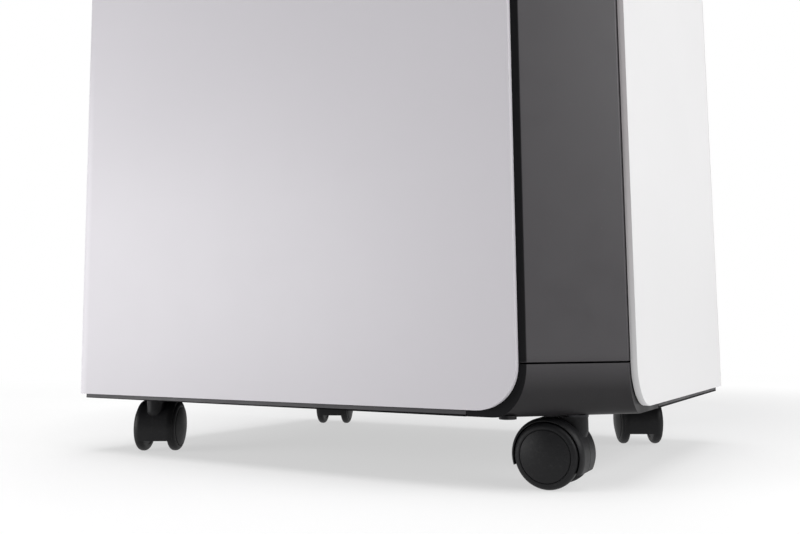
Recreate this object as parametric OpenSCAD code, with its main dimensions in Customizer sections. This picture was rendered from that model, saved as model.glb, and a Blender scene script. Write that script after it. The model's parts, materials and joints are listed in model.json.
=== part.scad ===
// Portable compressor dehumidifier on four hooded twin-wheel casters.
// Origin: centre of the footprint on the floor. +X right, +Y to the back, +Z up; the wide panel faces -Y.

/* [Body] */
// Width across the two side panels
body_w = 404.5; // [400:0.5:430]
// Depth from the front panel to the back
body_d = 278; // [275:1:300]
// Height from the floor to the top cover
body_h = 600; // [596:1:640]
// Radius of the square vertical corners
corner_r = 8; // [6:1:10]
// Corner chamfer, measured along the front
chamfer_x = 47.3; // [40:0.1:50]
// Corner chamfer, measured along the right side
chamfer_y = 44.3; // [40:0.1:50]

/* [Panels] */
// Thickness of the white panels
panel_t = 3.7; // [3:0.1:3.8]
// Height of the panels' lower edge above the floor
panel_z = 42.2; // [42:0.1:44]
// Radius of the panel corners beside the dark column
panel_corner_r = 23.4; // [15:0.1:28]
// Strip of the column that shows beside the front panel
reveal = 1.7; // [0:0.1:2]
// Depth of the dark core behind the panel faces
core_inset = 4; // [4:0.1:5]

/* [Casters] */
// Wheel diameter
wheel_d = 35; // [34:0.5:35]
// Distance from the swivel axis to the axle
trail = 13.5; // [13:0.5:14]
// Width over both wheel caps
caster_w = 35; // [34:0.5:36]

/* [Tank] */
// Height of the tank's body
tank_h = 181; // [150:1:182]
// Wall of the tank
tank_wall = 2.6; // [2:0.1:3]

/* [Controls] */
// Button diameter
button_d = 14; // [10:1:16]
// Travel of a button
button_travel = 1; // [0.5:0.1:1.2]

/* [Hidden] */
$fn = 48;
eps = 0.01;

// Levels and faces of the body
half_w = body_w / 2;
half_d = body_d / 2;
base_z = 39.1;           // underside of the base pan
foot_z = 38.5;           // underside of the corner foot
seam_z = 66;             // top of the corner foot
seam_gap = 0.9;          // gap between foot and column
cover_z = body_h - 42;   // underside of the top cover
panel_top = cover_z - 3; // shadow gap below the top cover
face_inset = 1.2;        // column face behind the chord between the two panels
shell = 3;               // wall of the dark plastic parts
skin = 3;                // wall of the top cover
top_r = 6;               // rounding of the top cover's upper edge
small_r = 2.5;           // lower corners away from the column
fit = 0.05;              // radial clearance of a running fit

// Where the corner foot meets the base pan, on the front and on the right
foot_x = 123;
foot_y = -40.5;
foot_depth = 13.5;        // how far the foot's face rolls in under the column
foot_lip = 20;           // how far the foot reaches in below the base pan
foot_floor = 2.2;        // thickness of the foot's floor
face_angle = atan2(chamfer_y, chamfer_x);

// Openings in the rear housing, and what fills them
bay_half = 150;
bay_low = 68;
bay_high = 303;
grille_low = 322;
grille_high = 530;
frame_gap = 1.2;
face_t = 4.2;

// Tank bay liner and tank
liner_t = 2.5;
bay_front = -14;
tank_half = 146;
tank_front = -8;
tank_back = half_d - face_t - 0.3;
tank_low = bay_low + 1;
tank_top = tank_low + tank_h;
rim_side = 14;           // ledge beside the lid that the handle lies on
handle_y = 90;
handle_z = tank_top + 5;
handle_arm = 32;
handle_bar = 3.5;

// Air path, from back to front
coil_half = 135;
coil_low = 325;
coil_high = 525;
evaporator_y = 95;
condenser_y = 62;
coil_t = 24;
fan_x = 10;
fan_z = 432;
fan_r = 75;
scroll_back = 54;
scroll_front = -10;
duct_top = cover_z + 14;
motor_r = 38;
shaft_r = 4;
outlet_half = 110;
outlet_front = -2;
outlet_back = 48;
louvre_pin_y = outlet_back - 5;
louvre_pin_z = body_h - 4;
louvre_pin_r = 1.5;

// Control panel on the top cover
lens_front = -118;
lens_back = -62;
lens_half = 130;
lens_t = 1.6;
button_x = [for (i = [0 : 4]) -96 + 34 * i];
button_y = -90;
button_low = body_h - 16; // lower end of a button's stem
button_names = ["button_power", "button_mode", "button_fan", "button_timer", "button_target"];

// Compressor
comp_x = -90;
comp_y = -74;
comp_r = 48;
comp_low = 54;
comp_high = 226;

// Casters: name, swivel axis x and y, and the way the wheels trail at rest
CASTERS = [["fl", -140.6, -117.2, 121], ["fr", 170.6, -99.5, 183], ["bl", -144.6, 98.7, 114],
           ["br", 154.2, 84.8, 118.5]];
wheel_r = wheel_d / 2;
hood_r = wheel_r + 2.5;
hood_inner = wheel_r + 0.6;
hood_low = 8.75;         // level lower edge of the hood
hood_half = 13.4;        // half the hood's width
hood_shoulder = 9.5;     // where the hood starts to round off
tread_shoulder = 12;     // where the tread starts to round off
stem_r = 4;
collar_r = 6;
stem_top = 60;
socket_r = 6.6;
boss_r = 5.7;
boss_low = 30.5;
axle_r = 2;
axle_half = 13;
wheel_in = 8.6;          // inner face of a wheel
web_half = 8.1;
rim_half = 15;           // outer face of a wheel's rim
cap_r = 13.6;            // domed cap inside the rim
cap_rise = 2.3;

caster_parts = ["hood", "stem", "wheels", "axle"];

// ---- Outlines ----

// The body's plan, stepped in from the outer faces by inset, and from the chamfer by face
module plan(inset, face) {
    r = max(corner_r - inset, 1);
    w = half_w - inset;
    d = half_d - inset;
    difference() {
        union() {
            square([2 * (w - r), 2 * d], center = true);
            square([2 * w, 2 * (d - r)], center = true);
            for (sx = [-1, 1], sy = [-1, 1])
                translate([sx * (w - r), sy * (d - r)]) circle(r = r);
        }
        translate([half_w - chamfer_x, -half_d]) rotate(face_angle)
            translate([-body_w, face - body_w]) square([2 * body_w, body_w]);
    }
}

module plan_ring(outer, outer_face, inner, inner_face) {
    difference() {
        plan(outer, outer_face);
        plan(inner, inner_face);
    }
}

// A rectangle from low to high whose corners have their own radii: low left, low right, high left, high right
module round_rect(low, high, radii) {
    corners = [[low[0], low[1], 1, 1], [high[0], low[1], -1, 1],
               [low[0], high[1], 1, -1], [high[0], high[1], -1, -1]];
    difference() {
        translate(low) square(high - low);
        for (i = [0 : 3]) {
            c = corners[i];
            r = radii[i];
            if (r > 0)
                translate([c[0], c[1]]) difference() {
                    translate([min(c[2] * r, 0) - (c[2] > 0 ? 1 : 0), min(c[3] * r, 0) - (c[3] > 0 ? 1 : 0)])
                        square(r + 1);
                    translate([c[2] * r, c[3] * r]) circle(r = r, $fn = 96);
                }
        }
    }
}

// Stands a drawing of x and z up, from y = y0 to y = y1
module stand_y(y0, y1) {
    translate([0, y1, 0]) rotate([90, 0, 0]) linear_extrude(y1 - y0) children();
}

// Stands a drawing of y and z up, from x = x0 to x = x1
module stand_x(x0, x1) {
    translate([x0, 0, 0]) rotate([90, 0, 90]) linear_extrude(x1 - x0) children();
}

module block(low, high) {
    translate(low) cube(high - low);
}

// ---- Casings ----

module caster_socket(c) {
    translate([c[1], c[2], base_z]) cylinder(h = seam_z - 4 - base_z, r = socket_r);
}

// The region in which the corner foot wraps round the base pan
module foot_zone(grow) {
    translate([foot_x - grow, -half_d]) square([body_w, half_d + foot_y + grow]);
}

module base_pan() {
    rim_top = seam_z - 4;
    floor_t = 3;
    raised = base_z + 1.7;
    color("#2b2b2e") difference() {
        union() {
            translate([0, 0, base_z]) linear_extrude(floor_t) difference() {
                plan(core_inset, face_inset);
                foot_zone(0.6);
            }
            translate([0, 0, base_z]) linear_extrude(rim_top - base_z) difference() {
                plan_ring(core_inset, face_inset, core_inset + shell, face_inset);
                foot_zone(0.6);
            }
            translate([0, 0, raised]) linear_extrude(floor_t) intersection() {
                plan(core_inset + shell + 0.4, foot_lip);
                foot_zone(4);
            }
            translate([0, 0, raised]) linear_extrude(rim_top - raised) intersection() {
                plan_ring(core_inset + shell + 0.4, foot_lip, core_inset + 2 * shell + 0.4, foot_lip + shell);
                foot_zone(4);
            }
            for (i = [0, 2, 3]) caster_socket(CASTERS[i]);
            intersection() {
                caster_socket(CASTERS[1]);
                foot_cavity(0.4);
            }
            for (a = [30, 150, 270])
                translate([comp_x, comp_y, base_z]) rotate(a) translate([comp_r - 10, 0])
                    cylinder(h = comp_low - base_z - 2, r = 3);
        }
        for (c = CASTERS)
            translate([c[1], c[2], base_z - 1]) cylinder(h = stem_top - base_z + 1.5, r = stem_r + fit);
        screw_holes();
        rear_screw_holes();
    }
}

// The foot's rolled-under face, drawn across the chamfer: 0 at the face, z up
function foot_roll(inset) =
    [for (a = [0 : 5 : 90])
        [inset + (foot_depth - inset) * (1 - cos(a)), seam_z - (seam_z - foot_z - inset) * sin(a)]];

module foot_solid(inset, reach) {
    depth = 110;
    intersection() {
        translate([0, 0, foot_z + inset]) linear_extrude(seam_z - foot_z) intersection() {
            plan(core_inset + inset, face_inset + inset);
            foot_zone(reach);
        }
        translate([half_w - chamfer_x, -half_d, 0]) rotate(face_angle) translate([0, face_inset, 0])
            stand_x(-body_w, body_w)
                polygon(concat(foot_roll(inset),
                               [[depth, foot_z + inset], [depth, seam_z + 1], [inset, seam_z + 1]]));
    }
}

// The room inside the foot, less an even clearance
module foot_cavity(clearance) {
    translate([0, 0, foot_floor - shell]) foot_solid(shell + clearance, 5);
}

module corner_foot() {
    color("#4a494b") difference() {
        union() {
            difference() {
                foot_solid(0, 0);
                intersection() {
                    foot_cavity(0);
                    translate([0, 0, foot_z]) linear_extrude(body_h) foot_zone(0);
                }
                // Open below, behind a lip that follows the chamfer
                translate([0, 0, foot_z - 1]) linear_extrude(10) intersection() {
                    plan(core_inset + 11, foot_lip + 6);
                    translate([foot_x + 6, -half_d]) square([body_w, half_d + foot_y - 6]);
                }
            }
            // Low screw lug under the front edge
            translate([144.2, -130.1, foot_z - 0.9]) cylinder(h = 2, r = 4.6);
        }
        translate([CASTERS[1][1], CASTERS[1][2], foot_z - 1]) cylinder(h = 20, r = collar_r + 0.4);
    }
}

module corner_column() {
    low = seam_z + seam_gap;
    color("#5a595b") translate([0, 0, low]) linear_extrude(cover_z - 0.4 - low) intersection() {
        plan_ring(core_inset, face_inset, core_inset + shell, face_inset + shell);
        translate([half_w - 74, -half_d]) square([100, 76]);
    }
}

module front_panel() {
    color("#e6e3e8") intersection() {
        linear_extrude(body_h) plan_ring(0, -1, panel_t, -1);
        stand_y(-half_d - 1, -half_d + corner_r)
            round_rect([-half_w - 1, panel_z], [half_w - chamfer_x - reveal, panel_top],
                       [small_r, panel_corner_r, small_r, panel_corner_r]);
    }
}

module side_grip_hole() {
    round_rect([-55, 486], [55, 520], [8, 8, 8, 8]);
}

module right_panel() {
    color("#f3f2f3") intersection() {
        linear_extrude(body_h) plan_ring(0, -1, panel_t, -1);
        stand_x(half_w - corner_r, half_w + 1) difference() {
            round_rect([-half_d + chamfer_y, panel_z], [half_d - corner_r - 0.3, panel_top],
                       [panel_corner_r, small_r, panel_corner_r, small_r]);
            side_grip_hole();
        }
    }
}

module left_panel() {
    color("#f3f2f3") stand_x(-half_w, -half_w + panel_t) difference() {
        round_rect([-half_d + corner_r + 0.3, panel_z], [half_d - corner_r - 0.3, panel_top], [0, 0, 0, 0]);
        side_grip_hole();
    }
}

module grip_cup() {
    depth = 26;
    color("#2f2f32") difference() {
        stand_x(half_w - core_inset - depth, half_w - core_inset)
            round_rect([-60, 480], [60, 526], [10, 10, 10, 10]);
        stand_x(half_w - core_inset - depth + 2.4, half_w) round_rect([-55, 486], [55, 520], [8, 8, 8, 8]);
    }
}

module grip_cups() {
    grip_cup();
    mirror([1, 0, 0]) grip_cup();
}

rear_screw_spots = [for (x = [-176, 176], z = [50, 312, 544]) [x, z]];

// Clearance holes for the rear screws, through whatever lies just inside the back
module rear_screw_holes() {
    stand_y(half_d - 20, half_d + 1) for (s = rear_screw_spots) translate(s) circle(r = 2);
}

module rear_housing() {
    color("#dcdbdd") difference() {
        intersection() {
            linear_extrude(body_h) plan_ring(0, -1, panel_t, -1);
            stand_y(half_d - corner_r, half_d + 1)
                round_rect([-half_w - 1, panel_z], [half_w + 1, panel_top], [0, 0, 0, 0]);
        }
        stand_y(half_d - 20, half_d + 1) {
            translate([-bay_half, bay_low]) square([2 * bay_half, bay_high - bay_low]);
            translate([-bay_half, grille_low]) square([2 * bay_half, grille_high - grille_low]);
            translate([174, 200]) circle(r = 15);
            translate([-174, 96]) circle(r = 11);
        }
        rear_screw_holes();
        for (s = rear_screw_spots)
            translate([s[0], half_d - 2, s[1]]) rotate([-90, 0, 0]) cylinder(h = 4, r = 4.2);
    }
}

module rear_screws() {
    color("#9a9a9e") for (s = rear_screw_spots) translate([s[0], half_d - 2, s[1]]) rotate([-90, 0, 0]) {
        difference() {
            cylinder(h = 1.8, r = 3.8);
            translate([0, 0, 0.7]) for (a = [0, 90]) rotate(a) translate([-2, -0.5]) cube([4, 1, 2]);
        }
        translate([0, 0, -10]) cylinder(h = 10 + eps, r = 1.8);
    }
}

screw_spots = [[-188, 0], [188, 20], [-60, 128], [60, 128], [-60, -127], [60, -127]];

module screw_holes() {
    for (s = screw_spots) translate([s[0], s[1], base_z - 1]) {
        cylinder(h = 6, r = 1.7);
        cylinder(h = 2.2, r = 3.6);
    }
}

module base_screws() {
    color("#9a9a9e") for (s = screw_spots) translate([s[0], s[1], base_z + 0.2]) {
        difference() {
            cylinder(h = 1, r = 3.2);
            translate([0, 0, -1.5]) for (a = [0, 90]) rotate(a) translate([-1.8, -0.4]) cube([3.6, 0.8, 2]);
        }
        translate([0, 0, 1]) cylinder(h = 9, r = 1.5);
    }
}

// Dark ring that the panels and the top cover fasten to; it closes the shadow gap
module top_frame() {
    color("#2b2b2e") difference() {
        translate([0, 0, cover_z - 24]) linear_extrude(24 - 0.3) difference() {
            plan_ring(core_inset + shell + 0.4, face_inset + shell + 0.4,
                      core_inset + 2 * shell + 0.4, face_inset + 2 * shell + 0.4);
        }
        rear_screw_holes();
    }
}

// ---- Top cover, controls and air outlet ----

module outlet_outline(grow) {
    // Tight back corners let the opened louvre swing past
    round_rect([-outlet_half - grow, outlet_front - grow], [outlet_half + grow, outlet_back + grow],
               [6, 6, 1.5, 1.5]);
}

module lens_outline(grow) {
    round_rect([-lens_half - grow, lens_front - grow], [lens_half + grow, lens_back + grow], [8, 8, 8, 8]);
}

module top_cover() {
    color("#f1f0f1") difference() {
        // Upper edges rounded along the front, the sides and the chamfer
        intersection() {
            translate([0, 0, cover_z]) linear_extrude(body_h - cover_z) plan(0, 0);
            stand_y(-half_d, half_d) round_rect([-half_w, cover_z], [half_w, body_h], [0, 0, top_r, top_r]);
            stand_x(-half_w, half_w) round_rect([-half_d, cover_z], [half_d, body_h], [0, 0, top_r, top_r]);
            translate([half_w - chamfer_x, -half_d, 0]) rotate(face_angle) stand_x(-body_w, body_w)
                round_rect([0, cover_z], [2 * body_d, body_h], [0, 0, top_r, 0]);
        }
        difference() {
            translate([0, 0, cover_z - 1]) linear_extrude(body_h - skin - cover_z + 1) plan(skin, skin);
            // Walls of the outlet well
            translate([0, 0, cover_z + 16]) linear_extrude(body_h) difference() {
                outlet_outline(skin);
                outlet_outline(0);
            }
        }
        translate([0, 0, cover_z]) linear_extrude(body_h) outlet_outline(0);
        translate([0, 0, body_h - lens_t - 0.6]) linear_extrude(10) lens_outline(0.3);
        for (x = button_x) translate([x, button_y, cover_z]) cylinder(h = body_h, r = button_d / 2 + 0.3);
        translate([0, louvre_pin_y, louvre_pin_z]) rotate([0, 90, 0])
            cylinder(h = 2 * outlet_half + 4, r = louvre_pin_r + 0.3, center = true);
    }
}

module control_lens() {
    color("#16171a") difference() {
        translate([0, 0, body_h - lens_t - 0.6]) linear_extrude(lens_t) lens_outline(0);
        for (x = button_x) translate([x, button_y, cover_z]) cylinder(h = body_h, r = button_d / 2 + 0.3);
    }
}

// A button: cap, step and the stem that presses its switch
module button(x) {
    color("#c9cacd") translate([x, button_y, 0]) {
        translate([0, 0, body_h - 9]) cylinder(h = 9, r = button_d / 2);
        translate([0, 0, body_h - 9.5]) cylinder(h = 1, r = button_d / 2 - 1);
        translate([0, 0, button_low]) cylinder(h = 8, r = 2);
    }
}

module control_board() {
    board_z = body_h - 22;
    color("#1f6b46") {
        block([-122, -114, board_z], [122, -66, board_z + 1.6]);
        // Switches, a button's travel below the stems
        for (x = button_x)
            block([x - 3, button_y - 3, board_z + 1.6],
                  [x + 3, button_y + 3, button_low - button_travel - 0.4]);
        block([74, -104, board_z + 1.6], [114, -76, board_z + 10]);
    }
}

module louvre() {
    gap = 1;
    color("#e9e8ea") {
        translate([0, 0, body_h - 2.6]) linear_extrude(2.6)
            round_rect([-outlet_half + gap, outlet_front + gap], [outlet_half - gap, louvre_pin_y + 2],
                       [5, 5, 1, 1]);
        // Three stiffening vanes below the flap
        for (x = [-70, 0, 70])
            block([x - 1, outlet_front + 8, body_h - 8], [x + 1, louvre_pin_y - 6, body_h - 2]);
        for (s = [-1, 1]) {
            translate([s * (outlet_half - 5), louvre_pin_y, louvre_pin_z]) rotate([0, 90, 0])
                cylinder(h = 5, r = 2.6, center = true);
            translate([s * (outlet_half - 1.2), louvre_pin_y, louvre_pin_z]) rotate([0, 90, 0])
                cylinder(h = 5, r = louvre_pin_r, center = true);
        }
    }
}

module louvre_motor() {
    color("#b9bcc0") translate([outlet_half + 6, louvre_pin_y, body_h - 15]) {
        rotate([0, 90, 0]) cylinder(h = 18, r = 10);
        block([0, -14, -1.2], [2, 14, 1.2]);
    }
}

module outlet_guard() {
    low = cover_z + 17;
    bar = 2.4;
    pitch = 9;
    count = floor(2 * (outlet_half - 4) / pitch / 2);
    color("#2f2f32") {
        translate([0, 0, low]) linear_extrude(3) difference() {
            outlet_outline(-0.4);
            outlet_outline(-4);
        }
        for (i = [-count : count])
            block([i * pitch - bar / 2, outlet_front + 2, low],
                  [i * pitch + bar / 2, outlet_back - 2, low + 3]);
        block([-outlet_half + 2, 22, low], [outlet_half - 2, 24.4, low + 3]);
    }
}

// ---- Tank bay and tank ----

module tank_bay() {
    outer = bay_half + liner_t;
    back = half_d - panel_t - 0.3;
    inlet_y = 40;
    color("#3a3a3d") difference() {
        union() {
            block([-outer, bay_front, bay_low - liner_t], [outer, back, bay_high + liner_t]);
            block([-half_w + 8, bay_front, 46], [half_w - 8, bay_front + liner_t, bay_high + liner_t]);
            // Shelf that carries the coils and the fan
            block([-half_w + 8, -60, bay_high], [half_w - 8, back, bay_high + liner_t]);
        }
        block([-bay_half, bay_front + liner_t, bay_low], [bay_half, half_d, bay_high]);
        translate([0, inlet_y, bay_high - 1]) cylinder(h = 10, r = 9);
    }
}

module drip_tray() {
    low = bay_high + liner_t + 0.2;
    color("#d9dadc") difference() {
        union() {
            block([-coil_half - 6, 34, low], [coil_half + 6, 126, low + 14]);
            translate([0, 40, bay_high - 14]) cylinder(h = 20, r = 7);
        }
        difference() {
            block([-coil_half - 4, 36, low + 2], [coil_half + 4, 124, low + 20]);
            // Low walls under the coils
            for (x = [-90, -30, 30, 90]) block([x - 1.5, 46, low], [x + 1.5, 124, low + 8]);
        }
        translate([0, 40, bay_high - 15]) cylinder(h = 40, r = 5);
    }
}

module water_tank() {
    back = tank_back;
    color("#a8b6c0", 0.6) {
        difference() {
            block([-tank_half, tank_front, tank_low], [tank_half, back, tank_top]);
            block([-tank_half + tank_wall, tank_front + tank_wall, tank_low + tank_wall],
                  [tank_half - tank_wall, back - tank_wall, tank_top + 1]);
        }
        // Ledges that carry the handle
        for (s = [-1, 1])
            block([s > 0 ? tank_half - rim_side : -tank_half + 1, tank_front + 1, tank_top - 3],
                  [s > 0 ? tank_half - 1 : -tank_half + rim_side, back - 1, tank_top]);
        // Handle pins
        for (s = [-1, 1]) {
            translate([s * (tank_half - 2.5), handle_y, handle_z]) rotate([0, 90, 0])
                cylinder(h = 3, r = 4, center = true);
            block([s > 0 ? tank_half - 4 : -tank_half + 1, handle_y - 4, tank_top - 1],
                  [s > 0 ? tank_half - 1 : -tank_half + 4, handle_y + 4, handle_z]);
            translate([s * (tank_half - 6), handle_y, handle_z]) rotate([0, 90, 0])
                cylinder(h = 6, r = 2, center = true);
        }
        // Float lugs on the front wall
        for (x = [84, 116])
            difference() {
                block([x, tank_front + 1, tank_top - 30], [x + 3, tank_front + 16, tank_top - 14]);
                translate([x - 1, tank_front + 11, tank_top - 22]) rotate([0, 90, 0])
                    cylinder(h = 5, r = 1.5 + fit);
            }
    }
}

module tank_face() {
    back = half_d;
    front = half_d - face_t;
    color("#e9e8ea") difference() {
        stand_y(front, back) round_rect([-bay_half + frame_gap, bay_low + frame_gap],
                                        [bay_half - frame_gap, bay_high - frame_gap], [3, 3, 3, 3]);
        // Finger slot, and the water level window
        stand_y(front - 1, back + 1) {
            round_rect([-58, tank_top + 12], [58, tank_top + 40], [12, 12, 12, 12]);
            round_rect([104, tank_low + 18], [116, tank_low + 150], [6, 6, 6, 6]);
        }
    }
}

module tank_lid() {
    half = tank_half - rim_side - 1;
    y0 = tank_front + 4;
    y1 = 82;
    low = tank_top + 0.2;
    color("#c7ccd1") difference() {
        union() {
            translate([0, 0, low]) linear_extrude(2.4) round_rect([-half, y0], [half, y1], [4, 4, 4, 4]);
            // Skirt that drops into the tank
            translate([0, 0, low - 7]) linear_extrude(8) difference() {
                round_rect([-half + 2, y0 + 2], [half - 2, y1 - 2], [4, 4, 4, 4]);
                round_rect([-half + 4, y0 + 4], [half - 4, y1 - 4], [3, 3, 3, 3]);
            }
            // Raised collar round the inlet
            translate([0, 40, low]) cylinder(h = 6, r = 20);
        }
        translate([0, 40, low - 10]) cylinder(h = 30, r = 17);
        // Room for the float's arms
        block([80, y0 - 1, low - 8], [123, y0 + 24, low - eps]);
    }
}

module tank_handle() {
    low = handle_z;
    color("#3a3a3d") {
        for (s = [-1, 1]) {
            difference() {
                translate([s * (tank_half - 7), handle_y, low]) rotate([0, 90, 0])
                    cylinder(h = 3.4, r = handle_bar + 1, center = true);
                translate([s * (tank_half - 7), handle_y, low]) rotate([0, 90, 0])
                    cylinder(h = 5, r = 2 + fit, center = true);
            }
            block([s * (tank_half - 7) - 1.7, handle_y + 3.8, low - 3],
                  [s * (tank_half - 7) + 1.7, handle_y + handle_arm, low + 3]);
        }
        translate([0, handle_y + handle_arm, low]) rotate([0, 90, 0])
            cylinder(h = 2 * (tank_half - 7) + 3.4, r = handle_bar, center = true);
    }
}

module tank_float() {
    pin_y = tank_front + 11;
    pin_z = tank_top - 22;
    color("#f0f0ee") {
        translate([83.4, pin_y, pin_z]) rotate([0, 90, 0]) cylinder(h = 36.2, r = 1.5);
        block([90, pin_y - 1.5, pin_z - 1.5], [113, pin_y + 12, pin_z + 1.5]);
        block([88, pin_y + 10, pin_z - 18], [115, pin_y + 44, pin_z + 1.5]);
    }
}

// ---- Intake grille and filter ----

module intake_grille() {
    slat = 3.2;
    pitch = 8;
    low = grille_low + frame_gap;
    high = grille_high - frame_gap;
    half = bay_half - frame_gap;
    border = 11;
    count = floor((high - low - 2 * border) / pitch);
    color("#dcdbdd") {
        stand_y(half_d - 3.5, half_d) difference() {
            round_rect([-half, low], [half, high], [3, 3, 3, 3]);
            translate([-half + border, low + border]) square([2 * (half - border), high - low - 2 * border]);
        }
        for (i = [1 : count - 1])
            block([-half + border - 1, half_d - 3.3, low + border + pitch * i - slat / 2],
                  [half - border + 1, half_d - 0.3, low + border + pitch * i + slat / 2]);
        for (x = [-68, 0, 68])
            block([x - 2, half_d - 3.4, low + border - 1], [x + 2, half_d - 1, high - border + 1]);
    }
}

module filter_frame() {
    half = bay_half - 6;
    low = grille_low + 6;
    high = grille_high - 6;
    y1 = half_d - 3.5;
    color("#46474a") {
        stand_y(y1 - 5, y1) difference() {
            round_rect([-half, low], [half, high], [4, 4, 4, 4]);
            translate([-half + 7, low + 7]) square([2 * (half - 7), high - low - 14]);
        }
        for (x = [-48, 48]) block([x - 1.5, y1 - 5, low + 6], [x + 1.5, y1 - 2.2, high - 6]);
        for (z = [low + (high - low) / 3, low + 2 * (high - low) / 3])
            block([-half + 6, y1 - 5, z - 1.5], [half - 6, y1 - 2.2, z + 1.5]);
    }
}

module filter_mesh() {
    half = bay_half - 13.2;
    y1 = half_d - 3.5;
    color("#8d9095") block([-half, y1 - 2, grille_low + 13.2], [half, y1 - 1.2, grille_high - 13.2]);
}

// ---- Inside ----

module compressor() {
    r_edge = 26;
    color("#1c1c1e") translate([comp_x, comp_y, 0]) {
        rotate_extrude() intersection() {
            square([comp_r, comp_high]);
            translate([0, comp_low]) union() {
                square([comp_r - r_edge, comp_high - comp_low]);
                translate([0, r_edge]) square([comp_r, comp_high - comp_low - 2 * r_edge]);
                for (z = [r_edge, comp_high - comp_low - r_edge])
                    translate([comp_r - r_edge, z]) circle(r = r_edge);
            }
        }
        // Mounting plate and terminal cover
        difference() {
            translate([0, 0, comp_low - 2]) cylinder(h = 3, r = comp_r);
            for (a = [30, 150, 270])
                rotate(a) translate([comp_r - 10, 0, comp_low - 3]) cylinder(h = 6, r = 3.4);
        }
        block([30, -16, comp_high - 40], [56, 16, comp_high - 6]);
    }
}

module compressor_grommets() {
    color("#101011") for (a = [30, 150, 270])
        translate([comp_x, comp_y, base_z + 3.1]) rotate(a) translate([comp_r - 10, 0]) difference() {
            cylinder(h = comp_low - 2 - base_z - 3.2, r = 8);
            translate([0, 0, -1]) cylinder(h = 30, r = 3);
        }
}

// A finned coil: upright fins on straight tubes, between two end plates
module coil(y0, fin_pitch, tube_color) {
    fin = 1;
    rows = 8;
    gap = (coil_high - coil_low) / rows;
    count = floor(2 * coil_half / fin_pitch / 2) - 1;
    color(tube_color) {
        for (i = [-count : count])
            block([i * fin_pitch - fin / 2, y0, coil_low], [i * fin_pitch + fin / 2, y0 + coil_t, coil_high]);
        for (s = [-1, 1])
            block([s > 0 ? coil_half - 2 : -coil_half, y0, coil_low - 2], [s > 0 ? coil_half : -coil_half + 2,
                  y0 + coil_t, coil_high + 2]);
        for (i = [0 : rows - 1])
            translate([-coil_half - 5, y0 + coil_t / 2, coil_low + gap * (i + 0.5)]) rotate([0, 90, 0])
                cylinder(h = 2 * coil_half + 10, r = 3.5, $fn = 24);
    }
}

module evaporator() {
    coil(evaporator_y, 9, "#b9bcc0");
}

module condenser() {
    coil(condenser_y, 9, "#a9acb0");
}

module pipe_run(points, r) {
    for (i = [0 : len(points) - 2]) {
        a = points[i];
        b = points[i + 1];
        d = b - a;
        n = norm(d);
        translate(a) rotate([0, acos(d[2] / n), atan2(d[1], d[0])]) cylinder(h = n, r = r, $fn = 24);
        if (i > 0) translate(a) sphere(r = 1.2 * r, $fn = 24);
    }
}

module refrigerant_pipes() {
    first = coil_low + (coil_high - coil_low) / 16;
    side = -coil_half - 5;
    color("#b5713f") {
        // Discharge pipe, compressor to condenser
        pipe_run([[comp_x - 20, comp_y, comp_high], [comp_x - 20, comp_y, 290], [comp_x - 20, -66, 290],
                  [side - 18, -66, 290], [side - 18, -66, first + 3],
                  [side - 18, condenser_y + coil_t / 2, first + 3],
                  [side, condenser_y + coil_t / 2, first]], 3.2);
        // Suction pipe, evaporator back to the compressor
        pipe_run([[comp_x + 8, comp_y, comp_high], [comp_x + 8, comp_y, 276], [comp_x + 8, -66, 276],
                  [side - 32, -66, 276], [side - 32, -66, first + 28],
                  [side - 32, evaporator_y + coil_t / 2, first + 28],
                  [side, evaporator_y + coil_t / 2, first + 25]], 3.2);
        // Filter-drier in the liquid line
        translate([side - 18, -20, first + 3]) rotate([-90, 0, 0]) cylinder(h = 50, r = 8);
    }
}

// The fan's scroll: a casing whose radius grows with the angle, with a duct up to the outlet
function scroll_points(grow) =
    [for (a = [0 : 10 : 350]) let (r = fan_r + 8 + 26 * a / 360 + grow)
        [fan_x + r * cos(a + 10), fan_z + r * sin(a + 10)]];

module scroll_outline(grow) {
    duct_left = fan_x + 26 - grow;
    duct_right = fan_x + fan_r + 34 + grow;
    polygon(scroll_points(grow));
    translate([duct_left, fan_z]) square([duct_right - duct_left, duct_top - fan_z]);
}

module fan_scroll() {
    wall = 2.4;
    color("#6d6e72") difference() {
        stand_y(scroll_front, scroll_back) intersection() {
            scroll_outline(wall);
            translate([-half_w, 0]) square([body_w, duct_top]);
        }
        stand_y(scroll_front + wall, scroll_back - wall) union() {
            scroll_outline(0);
            translate([fan_x + 26, fan_z]) square([fan_r + 8, duct_top]);
        }
        stand_y(scroll_back - 10, scroll_back + 1) translate([fan_x, fan_z]) circle(r = fan_r - 12);
        stand_y(scroll_front - 1, scroll_front + 10) translate([fan_x, fan_z]) circle(r = 14);
    }
}

module fan_wheel() {
    blades = 24;
    blade_t = 1.6;
    y0 = scroll_front + 6;
    y1 = scroll_back - 8;
    color("#e1e1e3") difference() {
        union() {
            stand_y(y0, y0 + 2.4) translate([fan_x, fan_z]) circle(r = fan_r);
            stand_y(y0, y0 + 20) translate([fan_x, fan_z]) circle(r = 12);
            stand_y(y1 - 3, y1) translate([fan_x, fan_z]) difference() {
                circle(r = fan_r);
                circle(r = fan_r - 6);
            }
            stand_y(y0, y1) translate([fan_x, fan_z]) for (i = [0 : blades - 1])
                rotate(i * 360 / blades) translate([fan_r - 13, 0]) rotate(28) square([12, blade_t]);
        }
        stand_y(y0 - 1, y0 + 30) translate([fan_x, fan_z]) circle(r = shaft_r);
    }
}

module fan_shaft() {
    color("#c8c9cc") translate([fan_x, scroll_front - 30, fan_z]) rotate([-90, 0, 0])
        cylinder(h = 54, r = shaft_r);
}

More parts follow.
